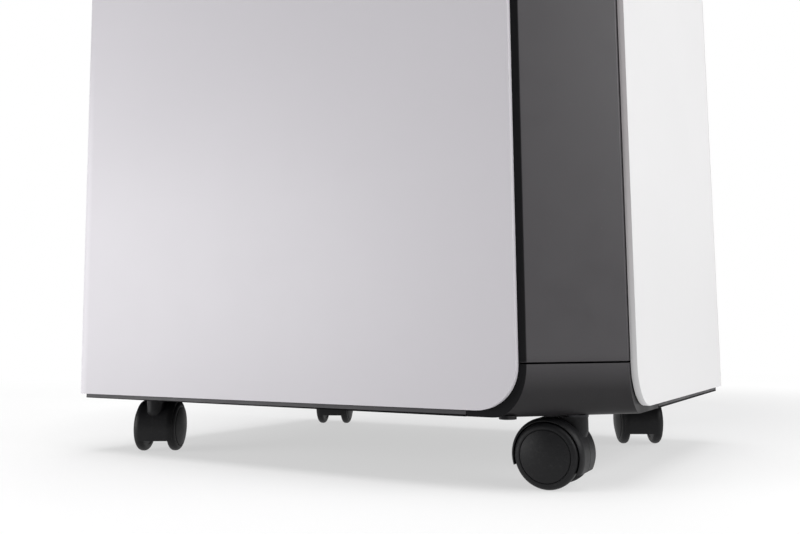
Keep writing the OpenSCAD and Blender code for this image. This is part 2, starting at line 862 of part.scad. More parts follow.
module fan_motor() {
    y0 = scroll_front - 46;
    y1 = scroll_front;
    color("#7b7c80") difference() {
        union() {
            stand_y(y0, y1) translate([fan_x, fan_z]) circle(r = motor_r);
            stand_y(y1 - 3, y1) translate([fan_x, fan_z]) for (a = [45, 135, 225, 315])
                rotate(a) translate([0, -6]) square([motor_r + 14, 12]);
        }
        stand_y(y0 + 6, y1 + 1) translate([fan_x, fan_z]) circle(r = shaft_r + fit);
    }
}

module power_board() {
    color("#2c5c3c") {
        block([10, -124, 340], [120, -122.4, 460]);
        block([20, -122.4, 350], [50, -102, 380]);
        block([60, -122.4, 352], [100, -108, 372]);
        for (i = [0 : 2])
            translate([30 + 28 * i, -122.4 - eps, 430]) rotate([-90, 0, 0]) cylinder(h = 16, r = 8);
    }
}

// ---- Ports in the back ----

module drain_spigot() {
    color("#d9dadc") translate([174, half_d - 24, 200]) rotate([-90, 0, 0]) difference() {
        union() {
            cylinder(h = 22.5, r = 6.5);
            cylinder(h = 2.4, r = 18);
        }
        translate([0, 0, -1]) cylinder(h = 40, r = 4.5);
    }
}

module cord_gland() {
    color("#1c1c1e") translate([-174, half_d - 12, 96]) rotate([-90, 0, 0]) difference() {
        union() {
            cylinder(h = 11.6, r = 10.6);
            cylinder(h = 7.8, r = 14);
        }
        translate([0, 0, -1]) cylinder(h = 30, r = 4.2);
    }
}

// ---- Casters, drawn with the swivel axis at the origin and the wheels trailing along +X ----

module place(c) {
    translate([c[1], c[2], 0]) rotate(c[3]) children();
}

module on_axle() {
    translate([trail, 0, wheel_r]) rotate([90, 0, 0]) children();
}

// Half section of a drum of radius r, rounded at the shoulder
module hood_section(r) {
    centre = wheel_r - 3;
    edge = r - centre;
    intersection() {
        square([r, hood_half]);
        union() {
            square([r, hood_shoulder]);
            square([centre, hood_half]);
            translate([centre, hood_shoulder]) circle(r = edge);
        }
    }
}

// Both halves of a drawing of radius and height, turned about the axle
module revolved() {
    for (s = [0, 1]) mirror([0, 0, s]) rotate_extrude() intersection() {
        square([60, 60]);
        children();
    }
}

// The kept part of the hood: from its trailing end, over the top and down the stem side to a level edge
module hood_sector() {
    trailing = -17;
    leading = 215;
    reach = 60;
    steps = 12;
    intersection() {
        on_axle() translate([0, 0, -30]) linear_extrude(60)
            polygon(concat([[0, 0]],
                           [for (i = [0 : steps]) let (a = trailing + (leading - trailing) * i / steps)
                               [reach * cos(a), reach * sin(a)]]));
        block([-reach, -reach, hood_low], [reach, reach, reach]);
    }
}

module hood_web() {
    stand_y(-web_half, web_half) intersection() {
        translate([trail, wheel_r]) circle(r = hood_inner + 0.5);
        translate([-20, hood_low]) square([80, 60]);
    }
}

module caster_hood() {
    hood_top = wheel_r + hood_r;
    color("#242426") difference() {
        union() {
            intersection() {
                difference() {
                    on_axle() revolved() hood_section(hood_r);
                    on_axle() cylinder(h = 60, r = hood_inner, center = true);
                }
                hood_sector();
            }
            translate([0, 0, boss_low]) cylinder(h = hood_top - boss_low, r = boss_r);
            translate([0, 0, boss_low]) sphere(r = boss_r);
            block([0, -boss_r, boss_low], [trail, boss_r, hood_top]);
            hood_web();
        }
        on_axle() cylinder(h = 60, r = axle_r + fit, center = true);
        translate([0, 0, boss_low - 4]) cylinder(h = 30, r = stem_r + fit);
    }
}

module caster_stem() {
    color("#3c3c3f") {
        translate([0, 0, boss_low - 4]) cylinder(h = stem_top - boss_low + 4, r = stem_r);
        translate([0, 0, wheel_r + hood_r]) cylinder(h = base_z - 0.4 - wheel_r - hood_r, r = collar_r);
    }
}

// Half section of one wheel: rounded tread and a domed cap
module wheel_section() {
    inner_round = 2.6;
    outer_round = rim_half - tread_shoulder;
    cap_y = caster_w / 2 - cap_rise;
    dome_r = (cap_r * cap_r + cap_rise * cap_rise) / (2 * cap_rise);
    union() {
        translate([0, wheel_in]) square([wheel_r - inner_round, rim_half - wheel_in]);
        translate([0, wheel_in + inner_round]) square([wheel_r, tread_shoulder - wheel_in - inner_round]);
        translate([wheel_r - inner_round, wheel_in + inner_round]) circle(r = inner_round);
        translate([0, tread_shoulder]) square([wheel_r - outer_round, outer_round]);
        translate([wheel_r - outer_round, tread_shoulder]) circle(r = outer_round);
        translate([0, rim_half - 1]) square([cap_r, cap_y - rim_half + 1]);
        intersection() {
            translate([0, cap_y - eps]) square([cap_r, caster_w]);
            translate([0, caster_w / 2 - dome_r]) circle(r = dome_r, $fn = 180);
        }
    }
}

module caster_wheels() {
    color("#1d1d1f") on_axle() difference() {
        revolved() wheel_section();
        cylinder(h = 2 * axle_half, r = axle_r, center = true);
    }
}

module caster_axle() {
    color("#8e8f93") on_axle() cylinder(h = 2 * axle_half, r = axle_r, center = true);
}

// ---- Assembly ----

base_pan();
corner_foot();
corner_column();
front_panel();
right_panel();
left_panel();
rear_housing();
top_frame();
top_cover();
control_lens();
outlet_guard();
tank_bay();
drip_tray();
compressor();
compressor_grommets();
evaporator();
condenser();
refrigerant_pipes();
fan_scroll();
fan_motor();
power_board();
control_board();
louvre_motor();
grip_cups();
drain_spigot();
cord_gland();
rear_screws();
base_screws();
fan_wheel();
fan_shaft();
intake_grille();
filter_frame();
filter_mesh();
water_tank();
tank_face();
tank_lid();
tank_handle();
tank_float();
louvre();
for (i = [0 : len(button_names) - 1])
    button(button_x[i]);
for (c = CASTERS) {
    place(c) caster_hood();
    place(c) caster_stem();
    place(c) caster_wheels();
    place(c) caster_axle();
}
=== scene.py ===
"""Looks of a portable dehumidifier on casters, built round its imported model.

Metres; +X right, +Y to the back, +Z up. Sizes written with MM are in millimetres.
"""
import json
import math

import bmesh
import bpy
from mathutils import Matrix, Vector

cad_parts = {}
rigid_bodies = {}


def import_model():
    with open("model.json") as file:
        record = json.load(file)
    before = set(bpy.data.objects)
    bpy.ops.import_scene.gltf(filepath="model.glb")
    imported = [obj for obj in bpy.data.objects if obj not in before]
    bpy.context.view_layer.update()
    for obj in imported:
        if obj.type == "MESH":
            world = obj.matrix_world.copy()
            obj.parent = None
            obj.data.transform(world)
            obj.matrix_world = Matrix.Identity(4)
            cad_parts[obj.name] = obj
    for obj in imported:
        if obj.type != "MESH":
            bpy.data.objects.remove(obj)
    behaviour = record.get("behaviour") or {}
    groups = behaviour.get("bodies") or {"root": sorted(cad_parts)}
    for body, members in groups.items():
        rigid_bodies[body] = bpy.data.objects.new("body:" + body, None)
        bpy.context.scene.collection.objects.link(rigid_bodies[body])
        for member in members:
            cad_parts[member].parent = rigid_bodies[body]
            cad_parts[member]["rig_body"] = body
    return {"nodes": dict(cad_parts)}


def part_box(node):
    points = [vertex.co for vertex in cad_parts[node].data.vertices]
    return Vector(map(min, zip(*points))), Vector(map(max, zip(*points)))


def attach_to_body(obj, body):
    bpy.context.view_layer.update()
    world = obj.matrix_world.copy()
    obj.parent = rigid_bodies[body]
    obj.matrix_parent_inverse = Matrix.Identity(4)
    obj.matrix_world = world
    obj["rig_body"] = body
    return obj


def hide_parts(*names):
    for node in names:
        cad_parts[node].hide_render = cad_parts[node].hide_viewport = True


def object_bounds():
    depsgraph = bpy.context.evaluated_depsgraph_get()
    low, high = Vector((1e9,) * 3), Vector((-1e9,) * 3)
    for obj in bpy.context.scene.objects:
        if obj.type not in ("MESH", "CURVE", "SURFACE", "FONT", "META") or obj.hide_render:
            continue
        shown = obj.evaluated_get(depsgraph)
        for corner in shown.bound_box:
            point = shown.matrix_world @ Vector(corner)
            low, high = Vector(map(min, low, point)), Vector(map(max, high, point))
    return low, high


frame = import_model()
CAD_LOW, CAD_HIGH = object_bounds()
NODES = frame["nodes"]
MM = 0.001

# Camera: a short lens held low before the front-right corner
CAMERA_PLACE = (0.31605, -0.5052, 0.078)
CAMERA_AZIMUTH, CAMERA_PITCH, CAMERA_ROLL = 32.29, 5.5, -0.567
LENS, SENSOR = 35, 36

# Light and floor
ROOM_LIGHT = 0.12
FLOOR_GLOW = 0.575
FLOOR_RADIUS = 1.5
FLOOR_FADE = 0.7                # radius at which the floor starts to turn into the backdrop
SHADE_CENTRE = (-0.03, 0.37, 0.0)       # soft shade on the floor behind the object
SHADE_NEAR, SHADE_FAR = 0.20, 0.55
LIGHTS = (  # name, place, target, size, power
    ("key_right", (1.5, 0.1, 0.85), (0.2, 0.05, 0.35), (1.2, 1.0), 16.5),
    ("fill_left", (-0.7, -0.8, 0.2), (-0.2, -0.14, 0.2), (0.6, 0.4), 4.6),
    ("top", (0.0, 0.0, 6.0), (0, 0, 0), (5.5, 5.5), 300),
    ("back_left", (-1.3, 1.6, 0.8), (-0.05, 0.1, 0.3), (1.4, 1.2), 9),
)

# Where painted shade and painted highlight change the panels' tones
LOW_SHADE_SPAN = (0.045, 0.17)        # heights between which the panels take on painted shade, darker towards the floor
HIGH_SHADE_SPAN = (0.33, 0.56)        # heights over which painted shade deepens the right panel again towards the top
HIGHLIGHT_SPAN = (-0.2022, -0.1895)  # the front panel's painted highlight down its left side, in X
HIGHLIGHT_HEIGHT = (0.23, 0.31)      # where that painted highlight dies out
LINE_FADE = 0.0002
PAN_SHADE_LINES = (0.0394, 0.0418)    # heights of the two lines of painted shade in the joints below and above the base pan's rim
FOOT_SPAN = (0.052, 0.070)      # heights over which the corner foot loses its gloss
COLUMN_SHADE_SPAN = (0.04, 0.45)      # heights that the corner's painted light and shade are spread over
SUNK_SHADE = (0.86, 0.97)             # how squarely a face of the corner looks forward to count as set back in the groove, and take painted shade


# ---------------------------------------------------------------- materials
class Nodes:
    """A short way to write a material's node tree."""

    def __init__(self, name):
        self.mat = bpy.data.materials.new(name)
        self.mat.use_nodes = True
        self.tree = self.mat.node_tree
        self.tree.nodes.clear()
        self.out = self.add("ShaderNodeOutputMaterial")
        self.coords = self.add("ShaderNodeTexCoord").outputs["Object"]

    def add(self, kind, **values):
        node = self.tree.nodes.new(kind)
        for key, value in values.items():
            setattr(node, key, value)
        return node

    def link(self, a, b):
        self.tree.links.new(a, b)

    def noise(self, scale, detail=3.0, rough=0.55, stretch=None):
        """Noise in object space; scale is cells per metre, and stretch divides it along each axis."""
        node = self.add("ShaderNodeTexNoise")
        node.inputs["Scale"].default_value = scale
        node.inputs["Detail"].default_value = detail
        node.inputs["Roughness"].default_value = rough
        source = self.coords
        if stretch:
            mapping = self.add("ShaderNodeMapping")
            mapping.inputs["Scale"].default_value = stretch
            self.link(source, mapping.inputs["Vector"])
            source = mapping.outputs["Vector"]
        self.link(source, node.inputs["Vector"])
        return node.outputs["Fac"]

    def spread(self, fac, low, high, start=0.35, end=0.65):
        """Maps a noise value onto the range low to high."""
        node = self.add("ShaderNodeMapRange")
        node.inputs["From Min"].default_value = start
        node.inputs["From Max"].default_value = end
        node.inputs["To Min"].default_value = low
        node.inputs["To Max"].default_value = high
        self.link(fac, node.inputs["Value"])
        return node.outputs["Result"]

    def facing(self, direction):
        """How squarely a face looks along a direction of the object."""
        node = self.add("ShaderNodeVectorMath", operation="DOT_PRODUCT")
        self.link(self.add("ShaderNodeNewGeometry").outputs["True Normal"], node.inputs[0])
        node.inputs[1].default_value = direction
        return node.outputs["Value"]

    def ramp(self, fac, stops):
        node = self.add("ShaderNodeValToRGB")
        elements = node.color_ramp.elements
        while len(elements) < len(stops):
            elements.new(0.5)
        for element, (place, colour) in zip(elements, stops):
            element.position = place
            element.color = (*colour, 1)
        self.link(fac, node.inputs["Fac"])
        return node.outputs["Color"]

    def mix(self, fac, a, b):
        node = self.add("ShaderNodeMix", data_type="RGBA")
        self.link(fac, node.inputs[0])
        for socket, value in ((node.inputs[6], a), (node.inputs[7], b)):
            if isinstance(value, tuple):
                socket.default_value = (*value, 1)
            else:
                self.link(value, socket)
        return node.outputs[2]

    def bump(self, height, distance, strength=1.0, under=None):
        node = self.add("ShaderNodeBump")
        node.inputs["Strength"].default_value = strength
        node.inputs["Distance"].default_value = distance
        self.link(height, node.inputs["Height"])
        if under:
            self.link(under, node.inputs["Normal"])
        return node.outputs["Normal"]


def shade(colour, factor):
    return tuple(min(1.0, c * factor) for c in colour)


def plastic(name, colour, rough, grain=0.00003, grain_scale=1400, mottle=0.035, coat=0.0,
            specular=0.5, dust=0.0, wear=0.0, painted_edge_shade=None, sheen=0.05, low_painted_shade=None,
            high_painted_shade=None, painted_highlight_side=None, lines=None):
    """Moulded plastic: spark-eroded grain, faint flow marks in the colour and an uneven sheen.

    painted_edge_shade is painted shade on faces that look away from +X. low_painted_shade is painted shade
    near the floor, high_painted_shade painted shade towards the top, painted_highlight_side a painted
    highlight down the left side, and lines are the heights of two lines of painted shade in the joints.
    """
    n = Nodes(name)
    shader = n.add("ShaderNodeBsdfPrincipled")
    cloud = n.noise(9, 4)
    fine = n.noise(grain_scale, 2, 0.6)
    base = n.ramp(cloud, [(0.3, shade(colour, 1 - mottle)), (0.7, shade(colour, 1 + mottle))])
    if dust:
        specks = n.spread(n.noise(420, 5, 0.7), 0, dust, 0.56, 0.78)
        base = n.mix(specks, base, (0.36, 0.35, 0.34))
    if wear:
        scuffs = n.spread(n.noise(95, 6, 0.75, (1, 1, 0.25)), 0, wear, 0.70, 0.82)
        base = n.mix(scuffs, base, shade(colour, 0.72))
    # Painted shade: faces that look away from +X, such as the right panel's narrow front face, take a darker
    # colour.
    if painted_edge_shade:
        base = n.mix(n.spread(n.facing((1, 0, 0)), 1, 0, 0.30, 0.75), base, painted_edge_shade)
    place = n.add("ShaderNodeSeparateXYZ")
    n.link(n.coords, place.inputs["Vector"])
    # Painted shade: darker towards the floor.
    if low_painted_shade:
        base = n.mix(n.spread(place.outputs["Z"], 1, 0, *LOW_SHADE_SPAN), base, shade(colour, low_painted_shade))
    # Painted shade: darker towards the top.
    if high_painted_shade:
        base = n.mix(n.spread(place.outputs["Z"], 0, 1, *HIGH_SHADE_SPAN), base, shade(colour, high_painted_shade))
    # Painted highlight: paler down the left side, low on the panel.
    if painted_highlight_side:
        lower = n.add("ShaderNodeMath", operation="MULTIPLY")
        n.link(n.spread(place.outputs["X"], 1, 0, *HIGHLIGHT_SPAN), lower.inputs[0])
        n.link(n.spread(place.outputs["Z"], 1, 0, *HIGHLIGHT_HEIGHT), lower.inputs[1])
        base = n.mix(lower.outputs["Value"], base, shade(colour, painted_highlight_side))
    shader.inputs["Specular IOR Level"].default_value = specular
    # Painted shade: two near-black lines in the joints, with the gloss taken out of them too.
    if lines:
        joint_shade = n.add("ShaderNodeMath", operation="MAXIMUM")
        lower, upper = lines
        n.link(n.spread(place.outputs["Z"], 1, 0, lower, lower + LINE_FADE), joint_shade.inputs[0])
        n.link(n.spread(place.outputs["Z"], 0, 1, upper - LINE_FADE, upper), joint_shade.inputs[1])
        base = n.mix(joint_shade.outputs["Value"], base, shade(colour, 0.1))
        n.link(n.spread(joint_shade.outputs["Value"], specular, 0.02, 0, 1), shader.inputs["Specular IOR Level"])
    n.link(base, shader.inputs["Base Color"])
    n.link(n.spread(n.noise(60, 4), rough - sheen, rough + sheen), shader.inputs["Roughness"])
    n.link(n.bump(fine, grain, 1.0, n.bump(n.noise(14, 2), 0.00003, 0.25)), shader.inputs["Normal"])
    shader.inputs["Coat Weight"].default_value = coat
    shader.inputs["Coat Roughness"].default_value = 0.08
    n.link(shader.outputs["BSDF"], n.out.inputs["Surface"])
    return n.mat


def corner_plastic(name, colour, groove):
    """The corner's dark plastic with painted light and shade: lighter towards the top, near black where it
    turns in beside the front.
    """
    n = Nodes(name)
    shader = n.add("ShaderNodeBsdfPrincipled")
    height = n.add("ShaderNodeSeparateXYZ")
    n.link(n.coords, height.inputs["Vector"])
    # Painted light and shade: the colour runs from near black at the floor to lighter than the plastic's own
    # at the top.
    painted_height_shade = n.spread(height.outputs["Z"], 0.0, 1.0, *COLUMN_SHADE_SPAN)
    stops = ((0.0, 0.10), (0.030, 0.24), (0.058, 0.62), (0.075, 0.84), (1.0, 1.20))
    base = n.ramp(painted_height_shade, [(place, shade(colour, factor)) for place, factor in stops])
    base = n.mix(n.spread(n.noise(9, 4), 0.0, 0.10), base, shade(colour, 1.5))
    specks = n.spread(n.noise(900, 3, 0.7), 0, 0.35, 0.72, 0.80)
    base = n.mix(specks, base, (0.34, 0.33, 0.33))
    # Painted shade: faces that look squarely forward, set back in the groove beside the front, take the
    # near-black groove colour and less gloss.
    sunk_shade = n.facing((0, -1, 0))
    base = n.mix(n.spread(sunk_shade, 0, 1, *SUNK_SHADE), base, groove)
    n.link(base, shader.inputs["Base Color"])
    n.link(n.spread(n.noise(60, 4), 0.38, 0.48), shader.inputs["Roughness"])
    n.link(n.bump(n.noise(1400, 2, 0.6), 0.00002), shader.inputs["Normal"])
    gloss = n.add("ShaderNodeMath", operation="MULTIPLY")
    n.link(n.spread(sunk_shade, 0.4, 0.1, *SUNK_SHADE), gloss.inputs[0])
    n.link(n.spread(height.outputs["Z"], 0.45, 1.0, *FOOT_SPAN), gloss.inputs[1])
    n.link(gloss.outputs["Value"], shader.inputs["Specular IOR Level"])
    n.link(shader.outputs["BSDF"], n.out.inputs["Surface"])
    return n.mat


def metal(name, colour, rough, stretch=(1, 1, 1), scale=500, stain=None):
    """Metal with fine drawn lines along one axis, and patches of duller oxide."""
    n = Nodes(name)
    shader = n.add("ShaderNodeBsdfPrincipled")
    lines = n.noise(scale, 4, 0.6, stretch)
    patches = n.noise(35, 5, 0.6)
    base = n.ramp(patches, [(0.3, stain or shade(colour, 0.8)), (0.62, colour)])
    n.link(base, shader.inputs["Base Color"])
    n.link(n.spread(lines, rough - 0.08, rough + 0.12), shader.inputs["Roughness"])
    n.link(n.bump(lines, 0.00002, 0.8), shader.inputs["Normal"])
    shader.inputs["Metallic"].default_value = 1.0
    n.link(shader.outputs["BSDF"], n.out.inputs["Surface"])
    return n.mat


def clear_plastic(name, colour, rough, strength):
    """Frosted translucent plastic, as a tank is blown or moulded in."""
    n = Nodes(name)
    shader = n.add("ShaderNodeBsdfPrincipled")
    cloud = n.noise(22, 4)
    base = n.ramp(cloud, [(0.3, shade(colour, 0.93)), (0.7, shade(colour, 1.05))])
    n.link(base, shader.inputs["Base Color"])
    n.link(n.spread(n.noise(90, 3), rough - 0.08, rough + 0.08), shader.inputs["Roughness"])
    n.link(n.bump(n.noise(900, 2), 0.00003, 0.8), shader.inputs["Normal"])
    shader.inputs["Transmission Weight"].default_value = strength
    shader.inputs["IOR"].default_value = 1.45
    n.link(shader.outputs["BSDF"], n.out.inputs["Surface"])
    return n.mat


def board_material(name):
    """Printed board: green mask over faint copper tracks."""
    n = Nodes(name)
    shader = n.add("ShaderNodeBsdfPrincipled")
    tracks = n.add("ShaderNodeTexVoronoi", feature="DISTANCE_TO_EDGE", distance="MANHATTAN")
    tracks.inputs["Scale"].default_value = 170
    n.link(n.coords, tracks.inputs["Vector"])
    line = n.spread(tracks.outputs["Distance"], 1, 0, 0.04, 0.09)
    n.link(n.mix(line, (0.010, 0.075, 0.035), (0.045, 0.17, 0.07)), shader.inputs["Base Color"])
    n.link(n.spread(n.noise(80), 0.3, 0.45), shader.inputs["Roughness"])
    n.link(n.bump(line, 0.00004, 0.8), shader.inputs["Normal"])
    n.link(shader.outputs["BSDF"], n.out.inputs["Surface"])
    return n.mat


SMOOTH = {"mottle": 0.008, "grain": 0.000008, "wear": 0.10}     # the panels' fine finish
SATIN = {"grain": 0.00012, "mottle": 0.1, "dust": 0.03, "specular": 0.2}     # the casters' grained one
MATERIALS = {
    # front_white carries painted shade towards the floor and a painted highlight down the left side.
    "front_white": plastic("front_white", (0.655, 0.635, 0.670), 0.42, specular=0.35, sheen=0.012,
                           low_painted_shade=0.94, painted_highlight_side=1.28, **SMOOTH),
    "side_white": plastic("side_white", (0.83, 0.825, 0.83), 0.42, specular=0.35, sheen=0.015, **SMOOTH),
    # The second colour is painted shade for the groove beside the front.
    "dark_plastic": corner_plastic("dark_plastic", (0.074, 0.070, 0.075), (0.011, 0.011, 0.012)),
    "black_plastic": plastic("black_plastic", (0.030, 0.030, 0.032), 0.46, mottle=0.06),
    "grey_plastic": plastic("grey_plastic", (0.60, 0.60, 0.61), 0.44, mottle=0.03, wear=0.15),
    "gloss_black": plastic("gloss_black", (0.012, 0.012, 0.014), 0.12, grain=0.000002, coat=1.0),
    "black_enamel": plastic("black_enamel", (0.014, 0.014, 0.015), 0.28, grain=0.00008, grain_scale=260,
                            coat=0.6),
    "rubber": plastic("rubber", (0.02, 0.02, 0.02), 0.78, grain=0.00005),
    "fin_aluminium": metal("fin_aluminium", (0.78, 0.79, 0.80), 0.34, (1, 1, 0.05)),
    "copper": metal("copper", (0.78, 0.37, 0.21), 0.30, stain=(0.42, 0.17, 0.09)),
    "motor_steel": metal("motor_steel", (0.52, 0.53, 0.55), 0.38, (0.05, 1, 1)),
    "circuit_board": board_material("circuit_board"),
    "zinc_steel": metal("zinc_steel", (0.66, 0.67, 0.70), 0.32),
    "filter_net": plastic("filter_net", (0.20, 0.21, 0.22), 0.6, grain=0.00002),
    "tank_clear": clear_plastic("tank_clear", (0.62, 0.70, 0.78), 0.42, 0.72),
    "float_foam": plastic("float_foam", (0.84, 0.83, 0.79), 0.85, grain=0.00025, grain_scale=650),
    "button_grey": plastic("button_grey", (0.56, 0.57, 0.58), 0.34, mottle=0.02, coat=0.2),
    "caster_black": plastic("caster_black", (0.010, 0.010, 0.011), 0.44, grain_scale=900, **SATIN),
    "wheel_black": plastic("wheel_black", (0.010, 0.010, 0.011), 0.48, grain_scale=1000, **SATIN),
}


# ---------------------------------------------------------------- geometry helpers
UNPIERCED = ("front_panel", "corner_column")    # pieces with no hole through a flat side
GRIP_LEVEL = {"left_panel": 0.503, "right_panel": 0.503}    # height at which a panel's hole is cut in half


def slot_of(node):
    return NODES[node].data.materials[0].name.split(".")[0]


def clean_copy(name, node, merge=True):
    """A CAD node's mesh with its doubled points merged and, with merge, its flat regions made whole."""
    mesh = bpy.data.meshes.new(name)
    bm = bmesh.new()
    bm.from_mesh(NODES[node].data)
    bmesh.ops.remove_doubles(bm, verts=bm.verts, dist=0.00001)
    if node in GRIP_LEVEL:
        # A seam through the hole keeps each merged side a simple outline
        whole = bm.verts[:] + bm.edges[:] + bm.faces[:]
        cut = bmesh.ops.bisect_plane(bm, geom=whole, dist=0.000001, plane_co=(0, 0, GRIP_LEVEL[node]),
                                     plane_no=(0, 0, 1))
        for part in cut["geom_cut"]:
            if isinstance(part, bmesh.types.BMEdge):
                part.seam = True
    if merge:
        bmesh.ops.dissolve_limit(bm, angle_limit=math.radians(0.6), verts=bm.verts, edges=bm.edges,
                                 delimit={"SEAM"})
    for face in bm.faces:
        face.smooth = True
    bm.to_mesh(mesh)
    bm.free()
    obj = bpy.data.objects.new(name, mesh)
    bpy.context.scene.collection.objects.link(obj)
    return obj


def add_bevel(obj, width, segments=3, angle=28):
    bevel = obj.modifiers.new("bevel", "BEVEL")
    bevel.width = width * MM
    bevel.segments = segments
    bevel.limit_method = "ANGLE"
    bevel.angle_limit = math.radians(angle)
    bevel.miter_outer = "MITER_ARC"
    bevel.use_clamp_overlap = True
    bevel.face_strength_mode = "FSTR_ALL"
    normals = obj.modifiers.new("normals", "WEIGHTED_NORMAL")
    normals.keep_sharp = True
    normals.use_face_influence = True
    return obj


def attach(obj, node_or_nodes, slot=None, material=None):
    """obj stands for CAD nodes: it rides on their body and takes their material slot."""
    names = [node_or_nodes] if isinstance(node_or_nodes, str) else list(node_or_nodes)
    slot = slot or slot_of(names[0])
    obj.data.materials.clear()
    obj.data.materials.append(material or MATERIALS[slot])
    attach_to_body(obj, NODES[names[0]]["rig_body"])
    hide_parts(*names)
    return obj


def dressed(node, width, segments=3, angle=28, material=None):
    """The CAD node's own shape with rounded edges."""
    slot = slot_of(node)
    merge = node in UNPIERCED or node in GRIP_LEVEL
    obj = add_bevel(clean_copy(node + "_skin", node, merge), width, segments, angle)
    return attach(obj, node, slot, material)


def new_object(name, bm, smooth=True):
    """Puts a built mesh into the scene."""
    bmesh.ops.recalc_face_normals(bm, faces=bm.faces)
    for face in bm.faces:
        face.smooth = smooth
    mesh = bpy.data.meshes.new(name)
    bm.to_mesh(mesh)
    bm.free()
    obj = bpy.data.objects.new(name, mesh)
    bpy.context.scene.collection.objects.link(obj)
    return obj


def add_piece(obj, body, slot, material=None):
    """A piece that stands for no node of its own: it rides on a body and takes a slot."""
    obj.data.materials.append(material or MATERIALS[slot])
    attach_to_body(obj, body)
    return obj


def lathe(bm, profile, place, segments=96):
    """Turns a closed outline of (radius, height) points about the local Z of place."""
    rings = []
    axis_points = {}
    for k in range(segments):
        turn = 2 * math.pi * k / segments
        ring = []
        for i, (r, h) in enumerate(profile):
            if r == 0:
                if i not in axis_points:
                    axis_points[i] = bm.verts.new(place @ Vector((0, 0, h)))
                ring.append(axis_points[i])
            else:
                ring.append(bm.verts.new(place @ Vector((r * math.cos(turn), r * math.sin(turn), h))))
        rings.append(ring)
    for k in range(segments):
        a, b = rings[k], rings[(k + 1) % segments]
        for i in range(len(profile)):
            j = (i + 1) % len(profile)
            corners = list(dict.fromkeys((a[i], b[i], b[j], a[j])))
            if len(corners) > 2:
                bm.faces.new(corners)


def prism(bm, points, low, high):
    """An upright prism over an outline in X and Y."""
    bottom = [bm.verts.new((x, y, low)) for x, y in points]
    top = [bm.verts.new((x, y, high)) for x, y in points]
    bm.faces.new(bottom)
    bm.faces.new(top)
    for k in range(len(points)):
        m = (k + 1) % len(points)
        bm.faces.new((bottom[k], bottom[m], top[m], top[k]))


def rod(bm, start, end, radius, sides=6):
    """A straight round bar between two points."""
    start, end = Vector(start), Vector(end)
    turn = (end - start).to_track_quat("Z", "Y").to_matrix()
    rings = [[bm.verts.new(point + turn @ Vector((radius * math.cos(2 * math.pi * k / sides),
                                                  radius * math.sin(2 * math.pi * k / sides), 0)))
              for k in range(sides)] for point in (start, end)]
    for k in range(sides):
        m = (k + 1) % sides
        bm.faces.new((rings[0][k], rings[0][m], rings[1][m], rings[1][k]))
    bm.faces.new(rings[0])
    bm.faces.new(rings[1])


def arc(radius, start, end, count=24):
    """Points of an arc about the origin, angles in degrees."""
    return [(radius * math.cos(math.radians(start + (end - start) * k / count)),
             radius * math.sin(math.radians(start + (end - start) * k / count))) for k in range(count + 1)]


# ---------------------------------------------------------------- cabinet
SAG = 0.7               # how far the pan's underside dips towards the right
SAG_LEVEL = 39.3        # points of the pan below this height dip
SAG_SPAN = 1.3          # the dip is whole before the right end is reached


def sag(obj):
    """Lets the pan's underside dip a little from the left end towards the right, as its moulded rim does."""
    for vertex in obj.data.vertices:
        if vertex.co.z < SAG_LEVEL * MM:
            share = (vertex.co.x - CAD_LOW[0]) / (CAD_HIGH[0] - CAD_LOW[0])
            vertex.co.z -= SAG * MM * min(1.0, share * SAG_SPAN)


SPECIAL = {
    # The right panel's material carries painted shade on its narrow front face, near the floor and towards
    # the top.
    "right_panel": plastic("side_white_painted_shade", (0.80, 0.795, 0.80), 0.48, specular=0.12, sheen=0.015,
                           painted_edge_shade=(0.58, 0.55, 0.56), low_painted_shade=0.95, high_painted_shade=0.86, **SMOOTH),
    # The base pan's material carries two lines of painted shade in its joints.
    "base_pan": plastic("base_dark", (0.040, 0.038, 0.042), 0.46, mottle=0.05, specular=0.35,
                        lines=PAN_SHADE_LINES),
}
ROUNDED = {     # how far each piece's edges are rounded, in millimetres
    "front_panel": 1.5, "right_panel": 0.35, "left_panel": 0.6, "top_cover": 0.5,
    "corner_column": 0.5, "corner_foot": 0.5, "base_pan": 0.4, "tank_face": 0.8, "intake_grille": 0.35,
    "louvre": 0.4, "grip_cups": 0.6, "outlet_guard": 0.3, "control_lens": 0.3,
}


def cabinet():
    for node, width in ROUNDED.items():
        skin = dressed(node, width, material=SPECIAL.get(node))
        if node == "base_pan":
            sag(skin)


cabinet()


# ---------------------------------------------------------------- casters
TRAILING, LEADING = -15, 205            # ends of the moulding line round the hood, in degrees
LINE_OUTER, LINE_INNER = 20.09, 19.6    # radii of that line
LINE_HALF = 0.28                        # half its width
HOOD_ROUND, WHEEL_ROUND = 0.8, 0.12


def caster_place(name):
    """Centre of a caster's axle, with X towards the trailing end of the hood, Y up and Z along the axle."""
    points = [vertex.co for vertex in NODES["axle_" + name].data.vertices]
    centre = sum(points, Vector()) / len(points)
    stem = [vertex.co for vertex in NODES["stem_" + name].data.vertices]
    trail = centre - sum(stem, Vector()) / len(stem)
    trail.z = 0
    trail.normalize()
    up = Vector((0, 0, 1))
    basis = Matrix((trail, up, trail.cross(up))).transposed().to_4x4()
    return Matrix.Translation(centre) @ basis


